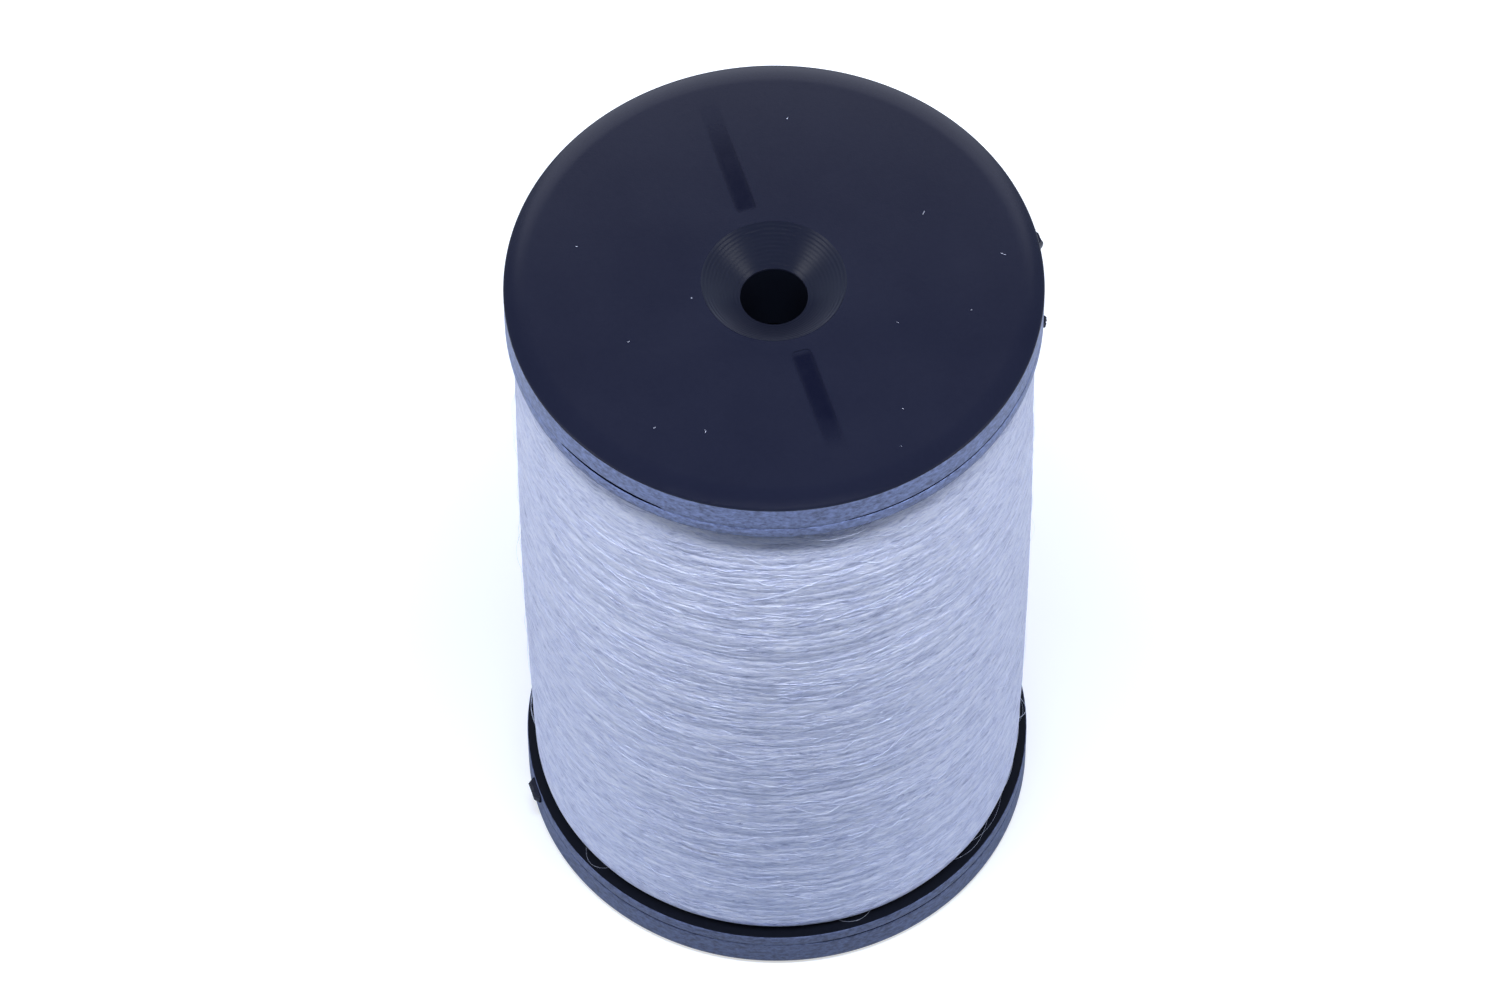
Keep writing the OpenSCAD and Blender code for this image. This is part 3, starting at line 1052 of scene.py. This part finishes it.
@dataclass
class Winding:
    """The wound thread: a bed, its outer turns, crossing turns, filaments and fuzz."""

    low: float
    high: float
    radius: float
    pitch: float = 0.36
    strand_w: float = 0.62
    strand_t: float = 0.045
    crown: float = 0.235
    brow: float = 0.06
    brow_h: float = 7.0
    low_shoulder_h: float = 0.8
    low_shoulder: float = 0.45
    high_shoulder_h: float = 2.6
    high_shoulder: float = 0.74
    squareness: float = 2.1
    bed_depth: float = 0.12
    steps: int = 190
    crossing_pitch: float = 2.6
    filaments: int = 6200
    filament_seeds: tuple[int, ...] = (23, 24, 25)
    hairs: int = 420
    hair_thick: float = 0.009
    root: float = 0.03
    tuft_share: float = 0.02
    tuft_depth: float = 0.75
    tuft_proud: float = 0.45
    tuft_thick: float = 0.018
    tuft_angle: float = 283.0
    tail_angle: float = 76.0
    tail_filaments: int = 9
    tail_thick: float = 0.035
    core_r: float = 6.0
    swells: int = 26
    swell: float = 0.0024
    swell_along: float = 2.6
    valleys: tuple[Valley, ...] = (
        Valley(27.5, 0.35, 0.9, 0.4, 0.022, 0.85),
        Valley(24.6, -0.30, 0.5, 2.1, 0.020, 0.40),
        Valley(20.2, 0.22, 0.6, 4.0, 0.024, 0.45),
        Valley(31.8, -0.25, 0.4, 1.0, 0.016, 0.35),
        Valley(15.1, 0.30, 0.7, 5.2, 0.022, 0.40),
        Valley(10.6, -0.20, 0.5, 3.1, 0.016, 0.35),
        Valley(35.0, 0.18, 0.3, 0.2, 0.014, 0.35),
    )

    def surface(self, height: np.ndarray) -> np.ndarray:
        """Radius of the smooth winding at each height, with its rounded shoulders."""
        middle, half = (self.high + self.low) / 2, (self.high - self.low) / 2
        low = np.clip(1 - (height - self.low) / self.low_shoulder_h, 0, 1)
        high = np.clip(1 - (self.high - height) / self.high_shoulder_h, 0, 1)
        brow = np.clip(1 - (self.high - height) / self.brow_h, 0, 1)
        return (
            self.radius
            - self.crown * ((height - middle) / half) ** 2
            - self.brow * brow**2
            - self.low_shoulder * (1 - np.sqrt(1 - low**2))
            - self.high_shoulder * (1 - (1 - high**self.squareness) ** (1 / self.squareness))
        )

    def relief(self, angle: np.ndarray, height: np.ndarray) -> np.ndarray:
        """Unevenness of the winding, in millimetres, from its furrows and slow swells."""
        rng, front = np.random.default_rng(11), math.radians(270)
        total = np.zeros(np.broadcast(angle, height).shape)
        for _ in range(self.swells):
            around = rng.integers(0, 7)
            along = rng.normal() * self.swell_along
            phase = rng.uniform(0, 2 * math.pi)
            total = total + self.swell * np.cos(around * angle + along * height + phase)
        for valley in self.valleys:
            turn = (angle - front + math.pi) % (2 * math.pi) - math.pi
            level = valley.height + valley.rise * turn + valley.swing * np.cos(turn + valley.phase)
            fade = 0.5 + 0.5 * np.cos(turn * 0.8 + valley.phase)
            total = total - valley.depth * fade * np.exp(-(((height - level) / valley.width) ** 2))
        return total

    def bed(self) -> Mesh:
        """The layers under the outer turns."""
        made = Outline()
        rounded, straight = self.low + self.low_shoulder_h, self.high - self.high_shoulder_h
        heights = np.concatenate(
            [
                self.low + np.linspace(0, self.low_shoulder_h, 8),
                np.linspace(rounded, straight, 40)[1:-1],
                straight + np.linspace(0, self.high_shoulder_h, 10),
            ]
        )
        made.add([(self.core_r, self.high), (self.core_r, self.low)], 0)
        made.add([(float(self.surface(np.array(z))) - self.bed_depth, float(z)) for z in heights], 0)
        return made.turned(180)

    def _slope(self, height: np.ndarray) -> np.ndarray:
        """How fast the smooth winding's radius grows with height, within the steepest lie of a turn."""
        step, steepest = 0.02, 1.4
        rise = (self.surface(height + step) - self.surface(height - step)) / (2 * step)
        return np.clip(rise, -steepest, steepest)[..., None]

    def _lying(
        self, centres: np.ndarray, angle: np.ndarray, height: np.ndarray
    ) -> tuple[np.ndarray, np.ndarray]:
        """Unit directions across each path and out of the winding's own surface."""
        across, out = self._frames(centres, angle)
        slope = self._slope(height)
        short = 1 / np.sqrt(1 + slope**2)
        return (across + out * slope) * short, (out - across * slope) * short

    def _frames(self, centres: np.ndarray, angle: np.ndarray) -> tuple[np.ndarray, np.ndarray]:
        """Unit directions across each path and out from the axis."""
        along = np.gradient(centres, axis=1)
        along /= np.linalg.norm(along, axis=-1, keepdims=True)
        out = np.stack([np.cos(angle), np.sin(angle), np.zeros_like(angle)], axis=-1)
        across = np.cross(out, along)
        across /= np.linalg.norm(across, axis=-1, keepdims=True)
        return across, np.cross(along, across)

    def _tubes(
        self,
        angle: np.ndarray,
        radius: np.ndarray,
        height: np.ndarray,
        thick: Union[np.ndarray, float],
        flat: Union[np.ndarray, float] = 1.0,
        section: np.ndarray = TRIANGLE,
        lying: bool = False,
    ) -> Mesh:
        """Closed tubes along paths round the spool.

        Args:
            angle: of each path's points, shaped (paths, points), as are radius and height.
            radius: distance from the axis.
            height: height over the foot.
            thick: half of a tube's width.
            flat: its height as a share of its width.
            section: points of its section.
            lying: whether it tilts with the winding's surface.

        Returns:
            All the tubes as one mesh.
        """
        centres = on_spool(angle, radius, height)
        across, out = self._lying(centres, angle, height) if lying else self._frames(centres, angle)
        return swept(centres, across * thick, out * thick * flat, section)

    def _kept(self, height: np.ndarray, below: float = 0.05, above: float = 0.05) -> np.ndarray:
        """Heights held between the flanges, with some room to each."""
        return np.clip(height, self.low + below, self.high - above)

    def strand(self, pitch: float, sink: float, stray: float, seed: int, down: bool) -> Mesh:
        """One unbroken strand wound from one flange to the other.

        Args:
            pitch: distance between its turns.
            sink: how deep its middle lies under the winding's surface.
            stray: how far it strays from an even winding.
            seed: of its random numbers.
            down: whether it runs down the spool.

        Returns:
            The strand.
        """
        rng, drift, uneven_w, uneven_t, ridge = np.random.default_rng(seed), 0.45, 0.16, 0.14, 0.003
        room = self.strand_w * 0.45
        turns = (self.high - self.low - 2 * room) / pitch
        count = int(turns * self.steps)
        part = np.linspace(0, 1, count)[None, :]
        angle = 2 * math.pi * turns * part + seed
        height = self.low + room + (self.high - self.low - 2 * room) * (1 - part if down else part)
        height = height + stray * (wander(rng, 1, count, 4) + drift * wander(rng, 1, count, 14))
        height = self._kept(height, room * 0.7, room * 0.7)
        radius = self.surface(height) + self.relief(angle, height) - sink
        radius = radius + 0.003 * wander(rng, 1, count, 3) + 0.001 * wander(rng, 1, count, 12)
        centres = on_spool(angle, radius, height)
        across, out = self._lying(centres, angle, height)
        wide = self.strand_w / 2 * (1 + uneven_w * wander(rng, 1, count, 5))
        thick = self.strand_t / 2 * (1 + uneven_t * wander(rng, 1, count, 5))
        section = np.array([(1.0, -0.2), (0.75, 0.8), (0.0, 1.0), (-0.75, 0.8), (-1.0, -0.2)])
        mesh = swept(centres, across * wide[..., None], out * thick[..., None], section)
        ridges = wander(rng, len(section), count, 2.4).T.reshape(1, count, len(section), 1)
        mesh.points += (ridges * ridge * out[:, :, None, :]).reshape(-1, 3)
        return mesh

    def filament_bundles(self, seed: int) -> Mesh:
        """Short bundles of filaments that lie on the turns, slightly askew."""
        number, count, shortest, thinnest, flat = self.filaments, 6, 0.30, 0.003, 0.22
        askew, waves, blunt = 0.09, 0.055, 0.35
        rng, rows, part = strewn(seed, number, count)
        length = rng.gamma(2.5, 0.30, rows) + shortest
        angle = rng.uniform(0, 2 * math.pi, rows) + length * part / self.radius
        slope = rng.normal(0, askew, rows)
        height = rng.uniform(self.low + 0.15, self.high - 0.25, rows) + slope * length * (part - 0.5)
        height = self._kept(height + waves * wander(rng, number, count, 2.2), above=0.06)
        rise = rng.uniform(-0.004, 0.010, rows)
        lie = (rise + self.root) * np.sin(math.pi * part) ** blunt - self.root
        radius = self.surface(height) + self.relief(angle, height) + lie
        radius = radius + 0.002 * wander(rng, number, count, 3)
        taper = np.sin(math.pi * np.clip(part, 0.02, 0.98)) ** 0.5
        wide = rng.gamma(4.0, 0.0036, rows) * taper + thinnest
        return self._tubes(angle, radius, height, wide[..., None], flat, lying=True)

    def fuzz(self) -> Mesh:
        """Single filaments that stand a little off the winding."""
        number, count, shortest, askew, waves = self.hairs, 14, 0.6, 0.22, 0.16
        rng, rows, part = strewn(37, number, count)
        length = rng.gamma(2.2, 1.1, rows) + shortest
        angle = rng.uniform(0, 2 * math.pi, rows) + length * part / self.radius
        height = rng.uniform(self.low + 0.3, self.high - 0.6, rows)
        height = height + length * rng.normal(0, askew, rows) * (part - 0.5)
        height = self._kept(height + waves * wander(rng, number, count, 5))
        proud = rng.gamma(2.0, 0.055, rows)
        tuft = rng.random(rows) < self.tuft_share
        middle = math.radians(self.tuft_angle) + 0.05 * rng.normal(size=rows)
        angle = np.where(tuft, middle + (part - 0.5) * length / self.radius, angle)
        gathered = self.high - self.tuft_depth + 0.22 * wander(rng, number, count, 6)
        height = self._kept(np.where(tuft, gathered, height))
        arch = np.where(tuft, self.tuft_proud, proud) * np.sin(math.pi * part) ** 1.2
        radius = self.surface(height) + self.relief(angle, height) - self.root + arch
        thick = np.where(tuft, self.tuft_thick, self.hair_thick)
        return self._tubes(angle, radius, height, thick[..., None])

    def flange_fibres(self) -> Mesh:
        """Filaments that have slipped off the winding's lower shoulder on to the thin flange."""
        number, count, gathered, middle, spread = 9, 14, 0.30, 228, 17
        inside, hang, thick = 0.35, 0.25, 0.0045
        rng, rows, part = strewn(41, number, count)
        length = rng.uniform(0.9, 3.6, rows)
        start = np.where(
            rng.random(rows) < gathered,
            np.radians(rng.normal(middle, spread, rows)),
            rng.uniform(0, 2 * math.pi, rows),
        )
        angle = start + length * part / self.radius
        arch = np.sin(math.pi * part)
        radius = self.radius - inside + rng.uniform(0.12, 0.50, rows) * arch
        radius = radius + 0.02 * wander(rng, number, count, 5)
        height = self.low + 0.015 + hang * (1 - arch**0.5)
        height = height + 0.02 * np.abs(wander(rng, number, count, 5))
        return self._tubes(angle, radius, height, thick)

    def tail(self, rim: float, slit_z: float) -> Mesh:
        """The loose end: it leaves the last turn, climbs over the thin flange and enters the slit.

        Args:
            rim: radius of the thin flange.
            slit_z: height of the slit.

        Returns:
            The bundles.
        """
        rng = np.random.default_rng(53)
        end, filaments = math.radians(self.tail_angle), self.tail_filaments
        fan, fan_h, leaves = 0.011, 0.10, 3.5

        def on(depth: float, proud: float) -> tuple[float, float]:
            """Radius and height of a point that stands proud of the winding."""
            height = self.high - depth
            return float(self.surface(np.array(height))) + proud, height

        keys = [
            (end - 0.62, *on(1.75, -0.04)),
            (end - 0.42, *on(1.62, 0.02)),
            (end - 0.20, *on(1.20, 0.03)),
            (end - 0.07, *on(0.50, 0.10)),
            (end - 0.01, rim + 0.08, self.high - 0.05),
            (end + 0.00, rim + 0.06, slit_z - 0.12),
            (end + 0.002, rim + 0.02, slit_z - 0.01),
            (end + 0.004, rim - 0.25, slit_z + 0.03),
            (end + 0.005, rim - 1.40, slit_z + 0.05),
        ]
        knots = np.array(keys)
        at_key = np.arange(len(keys))
        fine = np.linspace(0, len(keys) - 1, 90)
        smooth = np.stack([np.interp(fine, at_key, knots[:, k]) for k in range(3)])
        kernel = np.array([1, 4, 6, 4, 1]) / 16
        for _ in range(3):
            padded = np.pad(smooth, ((0, 0), (2, 2)), mode="edge")
            smooth = np.stack([np.convolve(row, kernel, "valid") for row in padded])
        spread = np.linspace(-1, 1, filaments)[:, None]
        squeeze = np.interp(fine, [0, 4, 6, 8], [0.5, 0.9, 1.3, 1.6])[None, :]
        angle = smooth[0][None, :] + spread * fan * squeeze
        radius = smooth[1][None, :] + 0.010 * wander(rng, filaments, len(fine), 12)
        height = smooth[2][None, :] + np.where(fine < leaves, 1.0, 0.0) * spread * fan_h
        height = height + 0.006 * wander(rng, filaments, len(fine), 12)
        flat = np.interp(fine, [0, 5, 6, 8], [1.0, 0.8, 0.5, 0.45])[None, :, None]
        return self._tubes(angle, radius, height, self.tail_thick, flat, HEXAGON)

    def build(
        self, thread: bpy.types.Material, fibre: bpy.types.Material, rim: float, slit_z: float
    ) -> None:
        """Makes all the pieces of the winding.

        Args:
            thread: the material of the turns.
            fibre: the material of loose filaments.
            rim: radius of the thin flange.
            slit_z: height of the slit that holds the loose end.
        """
        settle(self.bed().make("thread_bed", [thread], 60), "thread", "winding_core")
        turns = self.strand(self.pitch, self.strand_t * 0.5, 0.045, 3, False)
        settle(turns.make("thread_turns", [thread], 20), "thread", "winding_outer")
        crossing = self.strand(self.crossing_pitch, self.strand_t * 0.85, 0.10, 7, True)
        settle(crossing.make("thread_crossing_turns", [thread], 20), "thread")
        for layer, seed in enumerate(self.filament_seeds, 1):
            bundles, finish = self.filament_bundles(seed), fibre if layer == 1 else thread
            settle(bundles.make(f"thread_filaments_{layer}", [finish], SMOOTH), "thread")
        settle(self.fuzz().make("thread_fuzz", [fibre], SMOOTH), "thread")
        settle(self.flange_fibres().make("flange_fibres", [fibre], SMOOTH), "thread")
        tail = self.tail(rim, slit_z).make("thread_tail_strands", [fibre], SMOOTH)
        settle(tail, "thread", "thread_tail")


# ---- studio


class Place(Enum):
    """Where a softbox stands, in millimetres from the spool's foot."""

    KEY = (0.0, -28.6, 115.0)
    REAR = (0.0, 108.0, 94.0)
    LEFT_HIGH = (-150.0, -40.0, 165.0)
    RIGHT_HIGH = (150.0, -40.0, 165.0)
    LEFT = (-230.0, 10.0, 90.0)
    RIGHT = (230.0, 10.0, 90.0)


@dataclass(frozen=True)
class Softbox:
    """A soft rectangular lamp aimed at the middle of the spool."""

    name: str
    place: Place
    width: float
    height: float
    level: float
    mirrored: bool = True
    colour: Colour = (0.96, 0.98, 1.0)

    def build(self, target: Vector) -> bpy.types.Object:
        """Makes the lamp.

        Args:
            target: the point that it is aimed at, in metres.

        Returns:
            The lamp. A white face turned to it renders at its level.
        """
        data = bpy.data.lights.new(self.name, "AREA")
        data.shape = "RECTANGLE"
        data.size, data.size_y = self.width * MM, self.height * MM
        data.color = self.colour
        made = bpy.data.objects.new(self.name, data)
        made.location = Vector(self.place.value) * MM
        ray = target - made.location
        made.rotation_mode = "QUATERNION"
        made.rotation_quaternion = ray.to_track_quat("-Z", "Y")
        data.energy = self.level * math.pi**2 * ray.length_squared
        made.visible_camera = False
        made.visible_glossy = self.mirrored
        bpy.context.collection.objects.link(made)
        return made


@dataclass(frozen=True)
class Studio:
    """Floor, surroundings, lamps and camera."""

    floor_size: float = 6000.0
    floor_colour: Colour = (0.42, 0.48, 0.60)
    glow_start: float = 14.0
    glow_end: float = 55.0
    near_glow: float = 0.60
    far_glow: float = 0.42
    mirrored_glow: float = 0.5
    sky_level: float = 0.05
    sky_colour: Colour = (0.72, 0.83, 1.0)
    overhead_glow: float = 0.10
    horizon_glow: float = 0.75
    horizon: tuple[float, float] = (0.05, 0.75)
    camera_place: tuple[float, float, float] = (0.0, -217.0, 355.4)
    camera_aim: tuple[float, float, float] = (-1.245, 1.05, 21.63)
    camera_roll: float = -0.675
    lens: float = 195.29
    softboxes: tuple[Softbox, ...] = (
        Softbox("key_softbox", Place.KEY, 60, 10, 1.38, False),
        Softbox("rear_softbox", Place.REAR, 130, 100, 0.37, colour=(0.81, 0.84, 1.0)),
        Softbox("left_softbox", Place.LEFT, 160, 200, 0.48, False),
        Softbox("right_softbox", Place.RIGHT, 160, 200, 0.455, False),
        Softbox("left_high_softbox", Place.LEFT_HIGH, 60, 40, 0.06),
        Softbox("right_high_softbox", Place.RIGHT_HIGH, 60, 40, 0.05),
    )

    def _floor_material(self) -> bpy.types.Material:
        """Pale floor that looks white to the camera but keeps the spool's shadow, with a glow that is
        dimmer near the spool's foot: in reflections this is a painted shadow.
        """
        kit = NodeKit(bpy.data.materials.new("pale_floor"))
        seen, mirrored, through = map(kit.ray, RAYS)
        distance = kit.node("ShaderNodeVectorMath", {"operation": "LENGTH"}, {0: kit.place()}, "Value")
        # The glow grows from glow_start to glow_end away from the spool; for reflected rays it starts
        # at nothing, a painted shadow near the foot.
        away = kit.step(distance, self.glow_start, self.glow_end)
        paper = kit.node("ShaderNodeBsdfDiffuse", {}, {"Color": self.floor_colour})
        paper_glow = (seen + through) * (away * self.far_glow + self.near_glow)
        strength = paper_glow + mirrored * away * self.mirrored_glow
        glow = kit.node("ShaderNodeEmission", {}, {"Color": (1, 1, 1), "Strength": strength})
        both = kit.node("ShaderNodeAddShader", {}, {0: paper, 1: glow})
        kit.end("ShaderNodeOutputMaterial", both)
        return kit.owner

    def _floor(self) -> None:
        """Makes the floor."""
        half = self.floor_size / 2
        points = [(-half, -half, 0), (half, -half, 0), (half, half, 0), (-half, half, 0)]
        square = Mesh(np.array(points, float), [(0, 1, 2, 3)], [0])
        square.make("floor", [self._floor_material()])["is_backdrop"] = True

    def _surroundings(self) -> None:
        """White for the camera, soft sky for light, brighter near the horizon in reflections."""
        world = bpy.data.worlds.new("studio")
        bpy.context.scene.world = world
        kit = NodeKit(world)
        direction = kit.node("ShaderNodeTexCoord", output="Generated")
        up = kit.node("ShaderNodeSeparateXYZ", {}, {0: direction}, output="Z")
        glow = kit.node(
            "ShaderNodeMapRange",
            {"interpolation_type": "SMOOTHSTEP"},
            {
                "Value": up,
                "From Min": self.horizon[0],
                "From Max": self.horizon[1],
                "To Min": self.horizon_glow,
                "To Max": self.overhead_glow,
            },
        )
        seen, mirrored, through = map(kit.ray, RAYS)
        clear = (seen + through) > 0.5
        level = (1 - clear) * (mirrored * glow + (1 - mirrored) * self.sky_level) + clear
        colour = kit.mix(clear, self.sky_colour, (1, 1, 1))
        back = kit.node("ShaderNodeBackground", {}, {"Color": colour, "Strength": level})
        kit.end("ShaderNodeOutputWorld", back)

    def _camera(self) -> None:
        """Makes the camera and turns it to the spool."""
        data = bpy.data.cameras.new("camera")
        data.lens = self.lens
        data.clip_start, data.clip_end = 0.01, 20.0
        made = bpy.data.objects.new("camera", data)
        made.location = Vector(self.camera_place) * MM
        ray = Vector(self.camera_aim) * MM - made.location
        made.rotation_mode = "QUATERNION"
        roll = Matrix.Rotation(math.radians(self.camera_roll), 3, "Z")
        made.rotation_quaternion = (ray.to_track_quat("-Z", "Y").to_matrix() @ roll).to_quaternion()
        bpy.context.collection.objects.link(made)
        bpy.context.scene.camera = made

    def build(self, target: Vector) -> None:
        """Makes everything round the spool.

        Args:
            target: the point that the lamps are aimed at.
        """
        self._camera()
        self._floor()
        self._surroundings()
        for softbox in self.softboxes:
            softbox.build(target)
        bpy.context.scene.view_settings.view_transform = "Standard"


# ---- assembly

UPPER_SLIT = Slit(
    (
        Opening(218.5, 246, 0.21),
        Opening(284, 350, 0.13),
        Opening(22, 71, 0.09),
        Opening(120, 172, 0.06),
    )
)
LOWER_CAP_TURN = 66.0
WINDING_SHY = 0.22
LOWER_SLIT = Slit((Opening(214, 257, 0.09), Opening(277, 345, 0.13), Opening(40, 95, 0.07)))


def corners(node: str) -> tuple[Vector, Vector]:
    """Lowest and highest corner of a CAD node, in millimetres."""
    low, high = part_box(node)
    return low / MM, high / MM


def build_spool(materials: dict[str, bpy.types.Material]) -> None:
    """Makes the mouldings and the thread.

    Args:
        materials: all the finishes, by name.
    """
    barrel_low, barrel_high = corners("barrel")
    cap_low, cap_high = corners("upper_cap")
    core_low, core_high = corners("winding_core")
    flange_r = corners("lower_cap")[1].y
    overall_h = cap_high.z
    cap_t = overall_h - barrel_high.z
    flange_t = core_low.z - barrel_low.z
    moulding = [materials[finish.name] for finish in MOULDING]

    upper_gate = GateMark(13.0, 0.85, 0.27, 0.55, 1.25, 0.75, 1)
    lower_gate = GateMark(13.0, 0.80, 0.22, 0.55, 1.20, 0.60, 2)
    upper = EndCap(flange_r, cap_t, UPPER_SLIT, upper_gate)
    lower = EndCap(flange_r, cap_t, LOWER_SLIT, lower_gate, turn=LOWER_CAP_TURN, turned_over=True)
    upper_place = Matrix.Translation((0, 0, overall_h - cap_t))
    lower_place = (
        Matrix.Translation((0, 0, cap_t))
        @ Matrix.Rotation(math.radians(LOWER_CAP_TURN), 4, "Z")
        @ Matrix.Rotation(math.pi, 4, "X")
    )
    upper_face = upper.face_finish("upper_face_black", FACE).build()
    lower_face = lower.face_finish("lower_face_black", FACE).build()
    upper_cap = upper.build("upper_end_cap", upper_place, [upper_face, *moulding[1:]])
    # The lower cap's rim takes the dimmer copy of the rim finish: painted shade.
    lower_rim = moulding[Finish.LOWER_RIM_PAINTED_SHADE]
    lower_cap = lower.build("lower_end_cap", lower_place, [lower_face, lower_rim, *moulding[2:]])
    settle(upper_cap, "cap_plastic", "upper_cap")
    settle(lower_cap, "cap_plastic", "lower_cap")

    gates = (
        GateMark(197.0, 1.20, 0.34, barrel_low.z + 0.08, core_low.z - 0.06, 0.15, 4),
        GateMark(356.6, 0.16, 0.13, core_high.z + 0.10, barrel_high.z - 0.20, 0.30, 6),
        GateMark(355.4, 0.16, 0.12, core_high.z + 0.10, barrel_high.z - 0.20, 0.30, 8),
    )
    barrel = Barrel(flange_r, barrel_low.z, barrel_high.z, flange_t, gates)
    settle(barrel.build("spool_barrel", moulding), "flange_plastic", "barrel")

    lint = Lint(overall_h).mesh()
    settle(lint.make("face_lint", [materials[LOOSE.name]], SMOOTH), "thread")

    winding = Winding(core_low.z, core_high.z, flange_r - WINDING_SHY)
    winding.build(materials[THREAD.name], materials[LOOSE.name], flange_r, barrel_high.z)


def main() -> None:
    """Builds the studio and the spool."""
    logging.basicConfig(level=logging.INFO, format="%(message)s")
    cad_low, cad_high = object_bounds()
    Studio().build((cad_low + cad_high) / 2)
    build_spool({finish.name: finish.build() for finish in (*MOULDING, THREAD, LOOSE)})


if __name__ == "__main__":
    main()
